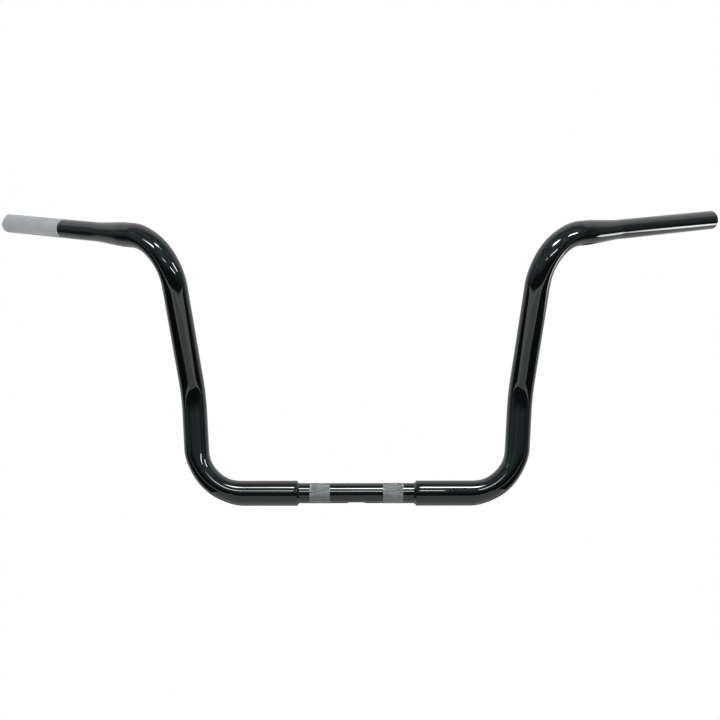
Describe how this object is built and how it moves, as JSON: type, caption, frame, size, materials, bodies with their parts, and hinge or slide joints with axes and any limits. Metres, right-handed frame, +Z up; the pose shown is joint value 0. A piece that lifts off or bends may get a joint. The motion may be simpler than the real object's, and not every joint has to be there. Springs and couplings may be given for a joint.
{
  "type": "motorcycle handlebar",
  "caption": "Tall welded tube handlebar with a straight knurled clamp section, bent uprights and swept-back, swaged grip ends.",
  "frame": {"origin": "middle of the clamp tube, on its axis, halfway between the two knurled bands", "axes": "+X along the clamp tube to the rider's left (the clutch side), +Y back to the rider, +Z up"},
  "size_m": [0.995, 0.2182, 0.39],
  "materials": {
    "black_paint": "gloss"
  },
  "bodies": {
    "root": {"clamp_tube": "black_paint", "throttle_side_tube": "black_paint", "clutch_side_tube": "black_paint"}
  },
  "joints": []
}
